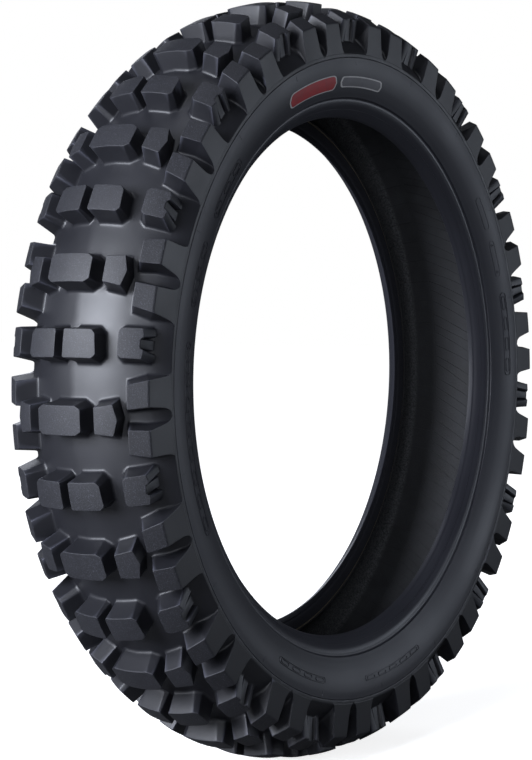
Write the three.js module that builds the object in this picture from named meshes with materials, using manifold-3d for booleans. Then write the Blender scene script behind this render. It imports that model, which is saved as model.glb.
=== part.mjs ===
// An 18-inch off-road motorcycle tire, bias-ply, unmounted, as the separate pieces it is built from.
// Millimetres. The axle lies along Y through the origin and the tire stands upright, +Z up.
// A cross-section point is written [lateral, radius]: lateral is the distance from the centre plane.
import * as THREE from "three";
import { mergeVertices } from "three/addons/utils/BufferGeometryUtils.js";
import Module from "manifold-3d";

const wasm = await Module();
wasm.setup();

// Driving dimensions
const RIM_SEAT_RADIUS = 228.6; // an 18-inch bead seat is 457.2 mm across
const CROWN_RADIUS = 333; // over the middle knobs
const HALF_WIDTH = 68.6; // over the shoulder knobs
const CROWN_ARC_CENTRE = 224.7; // radius of the point that the crown arcs are drawn about
const KNOB_DEPTH = 18;
const PITCHES = 18; // the tread pattern repeats this many times
const ROW_ANGLE = 4.56; // degrees from +X to the first wide middle knob
const GAP = 0.3; // clearance between neighbouring layers
const PLY = 0.8;
const LINER = 0.9;
const CHAFER = 0.7;
const BREAKER = 0.9;
const UNDER_TREAD = 1.5;
const TREAD_GAUGE = 2.9; // rubber under the voids between knobs
const TREAD_EDGE = 278; // radius where the tread meets the sidewalls
const SEGMENTS = 30; // flats around every ring
const CROWN_STEP = 17.6; // degrees between the flats across the crown
const TURN_UP_RADIUS = 259; // where the turned-up edge of the inner body ply ends
const CORE_SINK = 7; // how far a knob's foot reaches below the void floor before the core is cut away

// Worked out from them
const CROWN_ARC = CROWN_RADIUS - CROWN_ARC_CENTRE;
const FLOOR_ARC = CROWN_ARC - KNOB_DEPTH;
const TREAD_INNER_ARC = FLOOR_ARC - TREAD_GAUGE;
const UNDER_TREAD_ARC = TREAD_INNER_ARC - GAP - UNDER_TREAD;
const OUTER_BREAKER_ARC = UNDER_TREAD_ARC - GAP - BREAKER;
const INNER_BREAKER_ARC = OUTER_BREAKER_ARC - GAP - BREAKER;
const CASING_ARC = INNER_BREAKER_ARC - GAP - 2 * PLY - GAP;
const PITCH = 360 / PITCHES;
const SECOND_PLY = PLY + GAP;
const CASING_THICKNESS = SECOND_PLY + PLY;
const CORE_OFFSET = CASING_THICKNESS + GAP;

const radians = THREE.MathUtils.degToRad;

// ---------- cross-section helpers ----------

// Points along a crown arc, from one angle off the centre plane to another.
function arc(radius, from, to, steps) {
  const points = [];
  for (let i = 0; i <= steps; i++) {
    const angle = radians(from + ((to - from) * i) / steps);
    points.push([radius * Math.sin(angle), CROWN_ARC_CENTRE + radius * Math.cos(angle)]);
  }
  return points;
}

// A line moved sideways, to the left of its own direction, with mitred corners.
function offset(line, distance) {
  const normals = line.slice(1).map(([l, r], i) => {
    const along = new THREE.Vector2(l - line[i][0], r - line[i][1]).normalize();
    return new THREE.Vector2(-along.y, along.x);
  });
  return line.map(([l, r], i) => {
    const before = normals[Math.max(i - 1, 0)];
    const after = normals[Math.min(i, normals.length - 1)];
    const mitre = before.clone().add(after);
    const reach = distance / (mitre.dot(before) || 1);
    return [l + mitre.x * reach, r + mitre.y * reach];
  });
}

// The closed outline of a sheet that lies between two offsets of a line.
function sheet(line, inner, outer) {
  return [...offset(line, outer), ...offset(line, inner).reverse()];
}

// A half section that starts on the centre plane, joined to its mirror image.
function bothHalves(half) {
  const mirrored = half.slice(1).reverse().map(([l, r]) => [-l, r]);
  return [...mirrored, ...half];
}

// ---------- solids ----------

function signedArea(outline) {
  const contour = outline.map(([l, r]) => new THREE.Vector2(r, l));
  return THREE.ShapeUtils.area(contour);
}

function merged(geometry) {
  geometry.deleteAttribute("normal");
  geometry.deleteAttribute("uv");
  return mergeVertices(geometry, 1e-3);
}

// A closed outline turned about the axle.
function ring(outline) {
  const outward = signedArea(outline) > 0 ? outline : [...outline].reverse();
  const profile = [...outward, outward[0]].map(([l, r]) => new THREE.Vector2(r, l));
  const start = radians(90 - ROW_ANGLE + 180 / SEGMENTS);
  return merged(new THREE.LatheGeometry(profile, SEGMENTS, start, 2 * Math.PI));
}

// A closed body between two loops of points that run the same way round.
function loft(loopA, loopB) {
  const count = loopA.length;
  const flat = loopA.map((p) => new THREE.Vector2(p.s, p.v));
  if (THREE.ShapeUtils.isClockWise(flat)) {
    return loft([...loopA].reverse(), [...loopB].reverse());
  }
  const caps = THREE.ShapeUtils.triangulateShape(flat, []);
  const index = [];
  for (const [a, b, c] of caps) {
    index.push(a, b, c);
    index.push(count + c, count + b, count + a);
  }
  for (let i = 0; i < count; i++) {
    const next = (i + 1) % count;
    index.push(next, i, count + i);
    index.push(next, count + i, count + next);
  }
  const geometry = new THREE.BufferGeometry();
  const positions = [...loopA, ...loopB].flatMap((p) => p.place.toArray());
  geometry.setAttribute("position", new THREE.Float32BufferAttribute(positions, 3));
  geometry.setIndex(index);
  return geometry;
}

// A geometry as a boolean solid, turned right side out.
function solid(geometry) {
  const build = (triangles) =>
    new wasm.Manifold(
      new wasm.Mesh({
        numProp: 3,
        vertProperties: new Float32Array(geometry.attributes.position.array),
        triVerts: new Uint32Array(triangles),
      }),
    );
  const made = build(geometry.index.array);
  return made.volume() < 0 ? build([...geometry.index.array].reverse()) : made;
}

function geometryOf(body) {
  const mesh = body.getMesh();
  const geometry = new THREE.BufferGeometry();
  geometry.setAttribute("position", new THREE.Float32BufferAttribute(mesh.vertProperties, 3));
  geometry.setIndex(new THREE.Uint32BufferAttribute(mesh.triVerts, 1));
  return geometry;
}

// ---------- the casing line ----------

// The inner face of the first body ply: across the crown, down the sidewall, round under the bead
// wire and up again as the turn-up. Later layers are offsets of it.
const BEAD_WIRE = { inner: 45.6, outer: 48.8, bottom: 235.2, top: 240 };
const BEAD_CLEARANCE = CORE_OFFSET + GAP + 0.4;
const WRAP = 0.4;
const beadInner = BEAD_WIRE.inner - BEAD_CLEARANCE;
const beadOuter = BEAD_WIRE.outer + BEAD_CLEARANCE;
const beadBottom = BEAD_WIRE.bottom - BEAD_CLEARANCE;

const crownLine = [...arc(CASING_ARC, 0, CROWN_STEP * 2, 2), [58.2, 281]];
const sidewallLine = [
  [57.8, 261],
  [beadInner + 0.2, 245],
];
const HEEL_ACROSS = 3.8; // the casing slopes up round the heel of the bead
const HEEL_UP = 4.5;
const TURN_UP_START = 241; // radius where the turn-up leaves the bead
const beadLine = [
  [beadInner, beadBottom],
  [beadOuter - HEEL_ACROSS, beadBottom],
  [beadOuter, beadBottom + HEEL_UP],
  [beadOuter, TURN_UP_START],
];
const TURN_UP_LEAN = 9.4 / 18; // lateral per radius along the turn-up

// ---------- rings, outside in ----------

// The surface between the knobs, as a solid drum down to the axle.
function treadDrum() {
  const edge = HALF_WIDTH - 0.4;
  const half = [...arc(FLOOR_ARC, 0, CROWN_STEP * 2, 2), [62, 289], [edge, 281], [edge, TREAD_EDGE]];
  return ring([[-edge, 0], ...bothHalves(half), [edge, 0]]);
}

// Everything inside and below the tread, as a solid drum to cut away.
function treadCore() {
  const half = [...arc(TREAD_INNER_ARC, 0, CROWN_STEP * 2, 2), [60.4, 285], [61.4, TREAD_EDGE]];
  const past = HALF_WIDTH + 10;
  return ring([[-past, 0], [-past, TREAD_EDGE], ...bothHalves(half), [past, TREAD_EDGE], [past, 0]]);
}

function underTread() {
  const outer = arc(UNDER_TREAD_ARC + UNDER_TREAD, 0, CROWN_STEP * 2, 2);
  const inner = arc(UNDER_TREAD_ARC, 0, CROWN_STEP * 2, 2);
  return ring([...bothHalves(outer), ...bothHalves(inner).reverse()]);
}

function breaker(radius, steps) {
  const outer = arc(radius + BREAKER, 0, CROWN_STEP * steps, steps);
  const inner = arc(radius, 0, CROWN_STEP * steps, steps);
  return ring([...bothHalves(outer), ...bothHalves(inner).reverse()]);
}

// The inner body ply runs from bead to bead, wraps each bead wire and is turned up the sidewall.
function innerBodyPly() {
  const turnUp = [beadOuter + (TURN_UP_RADIUS - TURN_UP_START) * TURN_UP_LEAN, TURN_UP_RADIUS];
  return ring(sheet(bothHalves([...crownLine, ...sidewallLine, ...beadLine, turnUp]), 0, PLY));
}

// The outer body ply lies over it and ends beside the bead wires.
function outerBodyPly() {
  const end = [beadInner, BEAD_WIRE.bottom];
  return ring(sheet(bothHalves([...crownLine, ...sidewallLine, end]), SECOND_PLY, SECOND_PLY + PLY));
}

function innerLiner() {
  const half = [...crownLine, ...sidewallLine];
  return ring(sheet(bothHalves(half), -GAP - LINER, -GAP));
}

// ---------- rings that come in pairs; side is +1 or -1 along Y ----------

function onSide(outline, side) {
  return ring(outline.map(([l, r]) => [side * l, r]));
}

function sidewall(side) {
  const outer = [[67.4, 277.7], [67.4, 270], [65.8, 260], [62.3, 250], [58.6, 243.2]];
  const inner = [[54.8, 243.2], [63.2, 259.3], [62.7, 270.5], [61.2, 277.7]];
  return onSide([...outer, ...inner], side);
}

// The rubber that the rim touches. Off the rim the bead is rolled inward, so its base slopes up from
// the sharp toe to the heel, and a narrow flat meets the rim flange.
function rimCushion(side) {
  const toe = [43, RIM_SEAT_RADIUS - 2.2];
  const heel = [[48.5, RIM_SEAT_RADIUS + 1], [53, RIM_SEAT_RADIUS + 6.3]];
  const flange = [[56.2, RIM_SEAT_RADIUS + 10.6], [56.2, 242.9]];
  const inside = [[55.4, 242.9], [53, 240.8], [53, 236.3], [48.5, 231], [41.8, 231]];
  return onSide([toe, ...heel, ...flange, ...inside], side);
}

function chafer(side) {
  const line = [[beadInner + 0.1, 243], ...beadLine];
  return onSide(sheet(line, -GAP - CHAFER, -GAP), side);
}

function beadWire(side) {
  const { inner, outer, bottom, top } = BEAD_WIRE;
  const waist = (bottom + top) / 2;
  const cut = (outer - inner) * 0.375;
  const hexagon = [
    [inner, waist],
    [inner + cut, bottom],
    [outer - cut, bottom],
    [outer, waist],
    [outer - cut, top],
    [inner + cut, top],
  ];
  return onSide(hexagon, side);
}

// The fabric tape round the wires, open along the top where its edges lap on the real bead. Its outer
// corner is cut off where the heel slopes.
function beadWrap(side) {
  const { inner, outer, bottom, top } = BEAD_WIRE;
  const around = GAP + WRAP;
  const line = [
    [inner - around, top],
    [inner - around, bottom - around],
    [outer + around - 1.3, bottom - around],
    [outer + around, bottom - around + 2.7],
    [outer + around, top],
  ];
  return onSide(sheet(line, 0, WRAP), side);
}

function beadFiller(side) {
  const foot = BEAD_WIRE.top + 1.1;
  const outline = [[45.2, foot], [45.5, 244.2], [55.8, 255], [49.3, 243.5], [49.3, foot]];
  return onSide(outline, side);
}

// ---------- knobs ----------

// Knob outlines are [arc, lateral] points in millimetres on the crown surface, seen from outside.
const WIDE_MIDDLE = octagon(11.3, 20.5, 3, 4.5);
const HALF_MIDDLE = [[-11, 4], [11, 4], [11, 29.2], [8, 32.3], [-8, 30.8], [-11, 27.8]];
const SIDE_ARROW = [[-10, 31.5], [10, 31.5], [12, 45.5], [0, 48.5], [-12, 45.5]];
const NOTCHED = [[-10.5, 48.2], [7.5, 48.2], [10, 50.5], [10, 64.8], [-1.5, 62.5], [-13, 64.8], [-13, 50.5]];
const DRAFT = 4; // how far a wall leans out by the time it reaches the void floor
const SKIRT = 5.5; // how much further a notched knob's outer wall leans than its other walls
const SHOULDER = {
  angle: 3.475, // degrees between a shoulder knob's middle and its row
  halfLength: 10.1, // at the outer top edge
  lean: 0.088, // growth in half length for each millimetre down the side
  splay: 0.19, // how far the pair spreads apart for each millimetre outward
  inner: 55.3,
  innerRadius: 318,
  outerRadius: 308.5,
};

function octagon(halfArc, halfLateral, cutArc, cutLateral) {
  const corners = [];
  for (const [a, l] of [[-1, -1], [1, -1], [1, 1], [-1, 1]]) {
    const alongArc = [a * (halfArc - cutArc), l * halfLateral];
    const alongLateral = [a * halfArc, l * (halfLateral - cutLateral)];
    corners.push(...(a * l > 0 ? [alongLateral, alongArc] : [alongArc, alongLateral]));
  }
  return corners;
}

// A closed outline grown by the same distance on every side, so that its edges stay parallel.
function grown(outline, distance) {
  const count = outline.length;
  const closed = [outline[count - 1], ...outline, outline[0]];
  return offset(closed, -distance).slice(1, count + 1);
}

// Axes at a spot on the crown: along the rim, across the tread and straight up out of it.
function crownFrame(angle, lateral, side) {
  const a = radians(angle);
  const tilt = Math.asin(lateral / CROWN_ARC);
  const radial = new THREE.Vector3(Math.cos(a), 0, Math.sin(a));
  const axial = new THREE.Vector3(0, side, 0);
  const along = new THREE.Vector3(-Math.sin(a), 0, Math.cos(a));
  const up = radial.clone().multiplyScalar(Math.cos(tilt)).addScaledVector(axial, Math.sin(tilt));
  const across = axial.clone().multiplyScalar(Math.cos(tilt)).addScaledVector(radial, -Math.sin(tilt));
  const centre = radial.clone().multiplyScalar(CROWN_ARC_CENTRE).addScaledVector(up, CROWN_ARC);
  return { centre, along, across, up, tilt };
}

// A knob with a flat top tangent to the crown and walls that lean out to its foot. The skirt is extra
// lean for the outer wall.
function knob(angle, outline, side, skirt = 0) {
  const laterals = outline.map((p) => p[1]);
  const middle = (Math.min(...laterals) + Math.max(...laterals)) / 2;
  const frame = crownFrame(angle, middle, side);
  const top = outline.map(([s, lateral]) => [s, (lateral - middle) / Math.cos(frame.tilt)]);
  const halfSpan = Math.max(...top.map((p) => p[1]));
  const topHeight = -(halfSpan ** 2) / (4 * CROWN_ARC);
  const footHeight = topHeight - KNOB_DEPTH - CORE_SINK;
  const straightFoot = grown(top, (DRAFT * (KNOB_DEPTH + CORE_SINK)) / KNOB_DEPTH);
  const foot = straightFoot.map(([s, v]) => [s, v > 0 ? v + skirt : v]);
  const placed = (points, height) =>
    points.map(([s, v]) => {
      const place = frame.centre.clone().addScaledVector(frame.along, s);
      place.addScaledVector(frame.across, v).addScaledVector(frame.up, height);
      return { s, v, place };
    });
  return solid(loft(placed(top, topHeight), placed(foot, footHeight)));
}

// A shoulder knob: its outer wall runs down the side of the tire to the top of the sidewall.
function shoulderKnob(rowAngle, way, side) {
  const a = radians(rowAngle + way * SHOULDER.angle);
  const radial = new THREE.Vector3(Math.cos(a), 0, Math.sin(a));
  const along = new THREE.Vector3(-Math.sin(a), 0, Math.cos(a));
  const section = [
    [SHOULDER.inner, SHOULDER.innerRadius],
    [HALF_WIDTH, SHOULDER.outerRadius],
    [HALF_WIDTH, TREAD_EDGE + 1.5],
    [SHOULDER.inner - 3.3, TREAD_EDGE + 11],
  ];
  const endWall = (end) =>
    section.map(([lateral, radius]) => {
      const halfLength = SHOULDER.halfLength + SHOULDER.lean * (SHOULDER.outerRadius - radius);
      const splay = way * SHOULDER.splay * (lateral - HALF_WIDTH);
      const place = radial.clone().multiplyScalar(radius).addScaledVector(along, splay + end * halfLength);
      return { s: lateral, v: radius, place: place.setY(side * lateral) };
    });
  return solid(loft(endWall(-1), endWall(1)));
}

// One pitch of the pattern: a row with a wide middle knob, and half a pitch on, a split row.
function pitchKnobs(angle) {
  const knobs = [knob(angle, WIDE_MIDDLE, 1)];
  for (const side of [-1, 1]) {
    knobs.push(knob(angle, SIDE_ARROW, side));
    knobs.push(knob(angle + PITCH / 2, HALF_MIDDLE, side));
    knobs.push(knob(angle + PITCH / 2, NOTCHED, side, SKIRT));
    for (const way of [-1, 1]) knobs.push(shoulderKnob(angle, way, side));
  }
  return knobs;
}

function tread() {
  const bodies = [solid(treadDrum())];
  for (let i = 0; i < PITCHES; i++) bodies.push(...pitchKnobs(ROW_ANGLE + i * PITCH));
  const whole = wasm.Manifold.union(bodies);
  return geometryOf(whole.subtract(solid(treadCore())));
}

// ---------- the assembly ----------

const RUBBER = { color: 0x24252a, roughness: 0.62, metalness: 0 };
const SIDEWALL_RUBBER = { color: 0x2a2b30, roughness: 0.55, metalness: 0 };
const SOFT_RUBBER = { color: 0x1c1c1f, roughness: 0.7, metalness: 0 };
const NYLON = { color: 0x8a7a5c, roughness: 0.85, metalness: 0 };
const FABRIC = { color: 0x4a4a4c, roughness: 0.9, metalness: 0 };
const BRONZED_STEEL = { color: 0xa07844, roughness: 0.35, metalness: 1 };

const tire = new THREE.Group();

function add(name, geometry, finish) {
  const piece = new THREE.Mesh(geometry, new THREE.MeshStandardMaterial(finish));
  piece.name = name;
  tire.add(piece);
}

add("tread", tread(), RUBBER);
add("under_tread", underTread(), SOFT_RUBBER);
add("breaker_ply_outer", breaker(OUTER_BREAKER_ARC, 1), NYLON);
add("breaker_ply_inner", breaker(INNER_BREAKER_ARC, 2), NYLON);
add("body_ply_outer", outerBodyPly(), NYLON);
add("body_ply_inner", innerBodyPly(), NYLON);
add("inner_liner", innerLiner(), SOFT_RUBBER);
for (const [hand, side] of [["left", 1], ["right", -1]]) {
  add("sidewall_" + hand, sidewall(side), SIDEWALL_RUBBER);
  add("rim_cushion_" + hand, rimCushion(side), SIDEWALL_RUBBER);
  add("chafer_" + hand, chafer(side), FABRIC);
  add("bead_wire_" + hand, beadWire(side), BRONZED_STEEL);
  add("bead_wrap_" + hand, beadWrap(side), FABRIC);
  add("bead_filler_" + hand, beadFiller(side), SOFT_RUBBER);
}

export default tire;
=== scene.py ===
"""The looks of an off-road motorcycle tire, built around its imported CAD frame.

Sections are drawn in millimetres as (lateral, radius) points: lateral is the distance from the
centre plane along Y and radius the distance from the axle. Angles go round the axle from +X to +Z.
"""

import math
import random

import bmesh
import bpy
import numpy as np
from mathutils import Matrix, Vector
from mathutils.geometry import delaunay_2d_cdt


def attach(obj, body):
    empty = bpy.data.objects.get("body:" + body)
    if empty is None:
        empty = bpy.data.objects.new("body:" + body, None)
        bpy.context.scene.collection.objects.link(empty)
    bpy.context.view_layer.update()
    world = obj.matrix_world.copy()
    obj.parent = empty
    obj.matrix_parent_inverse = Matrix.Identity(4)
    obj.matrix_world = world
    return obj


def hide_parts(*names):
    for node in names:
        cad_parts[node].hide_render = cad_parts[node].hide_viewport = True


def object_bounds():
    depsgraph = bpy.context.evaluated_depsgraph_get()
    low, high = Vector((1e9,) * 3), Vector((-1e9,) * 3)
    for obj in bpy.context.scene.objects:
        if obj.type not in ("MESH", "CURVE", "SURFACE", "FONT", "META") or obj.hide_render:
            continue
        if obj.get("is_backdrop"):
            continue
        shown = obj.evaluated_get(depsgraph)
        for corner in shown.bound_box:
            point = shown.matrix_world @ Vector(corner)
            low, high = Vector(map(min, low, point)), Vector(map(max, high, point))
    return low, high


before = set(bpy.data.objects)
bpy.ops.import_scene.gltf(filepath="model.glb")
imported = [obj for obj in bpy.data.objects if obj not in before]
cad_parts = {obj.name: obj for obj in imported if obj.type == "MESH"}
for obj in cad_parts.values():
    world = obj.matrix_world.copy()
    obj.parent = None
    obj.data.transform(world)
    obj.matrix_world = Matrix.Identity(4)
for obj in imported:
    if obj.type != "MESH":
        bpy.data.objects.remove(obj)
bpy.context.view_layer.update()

MM = 0.001
NEAR = -1  # the side of the tire that the camera sees, along Y
FAR = 1

# ---- driving dimensions, millimetres

ARC_CENTRE = 224.7  # radius of the point that the crown arcs are drawn about
CROWN_RADIUS = 333.0
KNOB_DEPTH = 18.0
HALF_WIDTH = 68.6
PITCHES = 18
ROW_ANGLE = 4.56  # degrees from +X to the first wide middle knob
TREAD_EDGE = 278.0
TREAD_GAUGE = 2.9
CASING_ARC = 81.0
PLY = 0.8
GAP = 0.3
ROUND_STEPS = 360  # columns round the axle
CROWN_LAYERS = 35.2  # degrees off the centre plane that the layers under the crown reach
LAYER_STEPS = 16  # points along half of such a layer

PITCH = 360 / PITCHES
KNOB_ARC = CROWN_RADIUS - ARC_CENTRE
FLOOR_ARC = KNOB_ARC - KNOB_DEPTH
TREAD_INNER_ARC = FLOOR_ARC - TREAD_GAUGE

EDGE_ROUND = 0.5  # rounding of a knob's top edges
CORNER_ROUND = 0.8  # rounding of a knob's upright edges
ROUND_SHARE = 0.3  # the most of an edge's length, or of a wall's height, that a rounding takes
FILLET_RISE = 1.1  # a fillet's height on the wall, over its run on the floor
FILLET_SHARE = 0.45  # the most of a wall's height that a fillet takes
CAP_LOOPS = (0.72, 0.42, 0.16)  # loops on a knob's top, as shares of the way out from its middle
OUTLINE_STEP = 4.0  # longest edge along a knob's outline

BAND_ALONG = 21.5  # how far down the sidewall the two painted bands lie
BANDS = (  # middle angle in degrees, half length in degrees, half height, lift off the sidewall, paint
    ("label_band_red_edge", 109.0, 8.6, 6.8, 0.18, "white"),
    ("label_band_red", 109.0, 8.2, 5.9, 0.3, "red"),
    ("label_band_grey_edge", 91.5, 7.6, 5.0, 0.18, "white"),
    ("label_band_grey", 91.5, 7.1, 3.9, 0.3, "dark"),
)
BLANK_MARKS = (  # middle angle, length in degrees, distance down the sidewall, half height
    (190, 34, 20.5, 4.6), (161, 12, 20.5, 4.6), (143.5, 13, 21.5, 4.6),
    (247, 16, 15, 2.6), (279, 20, 15, 2.2), (7, 18, 15, 3.8),
)

COOL = (0.86, 0.9, 1)  # a slightly blue light
LIGHTS = (  # place, size, watts, colour
    ("key", (-1.75, 0.3, 0.36), (1.2, 0.8), 66, COOL),
    ("side", (2.0, -2.0, 0.3), (1.3, 1.3), 14, (0.8, 0.87, 1)),
    ("front", (-2.0, -1.15, 0.25), (0.9, 0.9), 9, COOL),
    ("back", (1.7, 2.1, 1.1), (1.0, 1.0), 14, COOL),
    ("top", (-0.5, -0.3, 2.6), (0.9, 0.9), 9, COOL),
)
WORLD_COLOUR = (0.84, 0.9, 1, 1)
WORLD_STRENGTH = 0.055
FLOOR_GLOW = 0.82  # keeps the pale floor white in the picture without lighting the tire from below
CAMERA_AZIMUTH = -56.254
CAMERA_ELEVATION = -3.974
CAMERA_DISTANCE = 1.66525
CAMERA_AIM = (0.00565, 0.17373)
CAMERA_LENS = 87.80
CAMERA_SENSOR = 36
LENS_SHIFT = (-0.0591, -0.2648)  # the picture is a crop from the lower part of the lens's view


# ---- section helpers


def joined(*parts):
    """Arrays or plain numbers, side by side on a last axis."""
    return np.stack(np.broadcast_arrays(*parts), -1)


def distances(line):
    """How far along a line each of its points is."""
    steps = np.hypot(*np.diff(np.asarray(line, float), axis=0).T)
    return np.concatenate([[0], np.cumsum(steps)])


def point_at(line, distance):
    """Points at given distances along a line of (lateral, radius) points."""
    line = np.asarray(line, float)
    along = distances(line)
    return joined(*(np.interp(distance, along, line[:, k]) for k in (0, 1)))


def arc_line(radius, start, end, steps):
    """An arc about the crown's centre point, by degrees off the centre plane."""
    angle = np.radians(np.linspace(start, end, steps + 1))
    return joined(radius * np.sin(angle), ARC_CENTRE + radius * np.cos(angle))


def smooth_line(points, per_span=6):
    """A Catmull-Rom curve through a few section points."""
    p = np.asarray(points, float)
    p = np.vstack([2 * p[0] - p[1], p, 2 * p[-1] - p[-2]])
    u = np.arange(per_span)[:, None] / per_span
    spans = []
    for a, b, c, d in zip(p, p[1:], p[2:], p[3:]):
        square = 2 * a - 5 * b + 4 * c - d
        cube = 3 * b - a - 3 * c + d
        spans.append(0.5 * (2 * b + (c - a) * u + square * u**2 + cube * u**3))
    return np.vstack(spans + [p[-2:-1]])


def normals_of(line):
    """Unit normals along a line, to the left of its direction."""
    along = np.gradient(np.asarray(line, float), axis=0)
    along /= np.linalg.norm(along, axis=1)[:, None]
    return joined(-along[:, 1], along[:, 0])


def both_halves(half):
    """A half section that starts on the centre plane, joined to its mirror image."""
    half = np.asarray(half, float)
    return np.vstack([half[:0:-1] * (-1, 1), half])


def sheet(line, inner, outer):
    """The outline of a layer between two distances outside a line."""
    line = np.asarray(line, float)
    normals = normals_of(line)
    return np.vstack([line + normals * outer, (line + normals * inner)[::-1]])


def turn(lateral, radius, degrees):
    """Section points placed round the axle, as x, y, z in millimetres."""
    angle = np.radians(degrees)
    return joined(radius * np.cos(angle), lateral, radius * np.sin(angle))


# ---- mesh helpers


BAR_TOP = 0.6  # a bar's width at the top, over its width at the foot
BAR_SINK = 0.3  # how far a bar's foot goes into what it stands on


def add_piece(name, surface, nodes, finish, sharp=40):
    """A mesh object that rides on the tire's one body and stands for CAD nodes."""
    mesh = bpy.data.meshes.new(name)
    mesh.from_pydata((np.asarray(surface.vertices) * MM).tolist(), [], surface.faces)
    work = bmesh.new()
    work.from_mesh(mesh)
    bmesh.ops.recalc_face_normals(work, faces=work.faces)
    work.to_mesh(mesh)
    work.free()
    mesh.polygons.foreach_set("use_smooth", [True] * len(mesh.polygons))
    mesh.set_sharp_from_angle(angle=math.radians(sharp))
    mesh.materials.append(finish)
    piece = add_object(name, mesh)
    weighted = piece.modifiers.new("weighted", "WEIGHTED_NORMAL")
    weighted.keep_sharp = True
    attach(piece, "root")
    if nodes:
        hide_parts(*nodes)


def add_object(name, data, place=(0, 0, 0)):
    """An object that the scene shows."""
    made = bpy.data.objects.new(name, data)
    made.location = place
    bpy.context.scene.collection.objects.link(made)
    return made


class Surface:
    """Vertices and faces gathered for one mesh, in millimetres."""

    def __init__(self):
        self.vertices = []
        self.faces = []

    def add(self, points):
        first = len(self.vertices)
        self.vertices.extend(np.asarray(points))
        return list(range(first, first + len(points)))

    def bridge(self, lower, upper):
        """Quads between two closed loops of vertex numbers."""
        count = len(lower)
        for i in range(count):
            k = (i + 1) % count
            self.faces.append((lower[i], lower[k], upper[k], upper[i]))

    def ring(self, outline, steps=ROUND_STEPS):
        """A closed outline turned about the axle."""
        lateral, radius = np.asarray(outline, float).T
        loops = [self.add(turn(lateral, radius, i * 360 / steps)) for i in range(steps)]
        for before, after in zip(loops, loops[1:] + loops[:1]):
            self.bridge(before, after)

    def bar(self, spine, across, up, half_width, height, closed):
        """A low bar along a spine of points."""
        loops = []
        for p, a, u, w in zip(spine, across, up, half_width):
            low, shelf = p - u * BAR_SINK, p + u * height
            narrow = w * BAR_TOP
            loops.append(self.add([low - a * w, low + a * w, shelf + a * narrow, shelf - a * narrow]))
        for before, after in zip(loops, loops[1:]):
            self.bridge(before, after)
        if closed:
            self.bridge(loops[-1], loops[0])
        else:
            self.faces.append(tuple(loops[0]))
            self.faces.append(tuple(reversed(loops[-1])))


def make_ring(name, outline, node, finish):
    surface = Surface()
    surface.ring(outline)
    add_piece(name, surface, [node], finish)


def mirrored(outline, side):
    return np.asarray(outline, float) * (side, 1)


# ---- the surface between the knobs


CROWN_STEPS = 40  # spans of the crown's half arc, each one degree
SEAM_HEIGHT = 0.5  # of the faint ridge where the mould halves met
SEAM_FADE = 5.0  # lateral distance over which the ridge dies away
VALLEY = [(61.5, 290.4), (64.2, 287.2), (66.0, 284.8), (67.3, 282.9), (68.1, 281.8), (68.45, 281.0)]
LIP = [(68.48, 280.3), (68.45, 279.4), (68.4, 278.6), (68.2, 278.1), (67.9, TREAD_EDGE)]


def knob_floor():
    """From the centre plane out to where the shoulder knobs' outer walls run out."""
    crown = arc_line(FLOOR_ARC, 0, CROWN_STEPS, CROWN_STEPS)
    crown[:, 1] += SEAM_HEIGHT * np.exp(-crown[:, 0] / SEAM_FADE)
    return np.vstack([crown[:-1], smooth_line([crown[-1], *VALLEY], 5)])


KNOB_FLOOR = knob_floor()
KNOB_END = distances(KNOB_FLOOR)[-1]
FLOOR_LINE = np.vstack([KNOB_FLOOR, LIP])  # on to the tread's lower edge


def floor_at(along):
    """Section points of the floor, at signed distances from the centre plane along it."""
    point = point_at(FLOOR_LINE, np.abs(along))
    return np.sign(along) * point[..., 0], point[..., 1]


def on_floor(spots):
    """Places of (degrees, along) spots on the floor."""
    return turn(*floor_at(spots[:, 1]), spots[:, 0])


# ---- knobs


def outline_points(corners):
    """A closed outline with rounded corners, from (s, v, draft, fillet) corners.

    The draft and fillet belong to the edge that leaves the corner. Returns the points, how far each
    leans out by the time it reaches the floor, the run of its fillet, and its outward direction.
    """
    count = len(corners)
    points, leans, runs, outwards = [], [], [], []
    for i in range(count):
        before, corner, after = (np.array(corners[k % count], float) for k in (i - 1, i, i + 1))
        into, out = corner[:2] - before[:2], after[:2] - corner[:2]
        into_length, out_length = np.hypot(*into), np.hypot(*out)
        normals = np.array([[into[1], -into[0]], [out[1], -out[0]]]) / [[into_length], [out_length]]
        widths = ((before[2], corner[2]), (before[3], corner[3]), (1, 1))
        mitres = [np.linalg.solve(normals, pair) for pair in widths]
        cut = min(CORNER_ROUND, ROUND_SHARE * into_length, ROUND_SHARE * out_length)
        start, end = corner[:2] - into / into_length * cut, corner[:2] + out / out_length * cut
        for u, mitred in ((0, 0.3), (0.5, 0.6), (1, 0.3)):
            normal = normals[0] * (1 - u) + normals[1] * u
            normal /= np.hypot(*normal)
            round_lean = normal * (before[2] * (1 - u) + corner[2] * u)
            round_run = normal * (before[3] * (1 - u) + corner[3] * u)
            points.append((1 - u) ** 2 * start + 2 * u * (1 - u) * corner[:2] + u**2 * end)
            leans.append(mitred * mitres[0] + (1 - mitred) * round_lean)
            runs.append(mitred * mitres[1] + (1 - mitred) * round_run)
            outwards.append(mitred * mitres[2] + (1 - mitred) * normal)
        last = after[:2] - out / out_length * min(CORNER_ROUND, ROUND_SHARE * out_length)
        pieces = max(2, math.ceil(np.hypot(*(last - end)) / OUTLINE_STEP))
        for k in range(1, pieces):
            points.append(end + (last - end) * k / pieces)
            leans.append(normals[1] * corner[2])
            runs.append(normals[1] * corner[3])
            outwards.append(normals[1])
    return tuple(np.array(part) for part in (points, leans, runs, outwards))


def curve(a, b, c, steps):
    """Loops of points from a to c, bent towards b."""
    return [(1 - u) ** 2 * a + 2 * u * (1 - u) * b + u * u * c for u in np.linspace(0, 1, steps + 1)]


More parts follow.
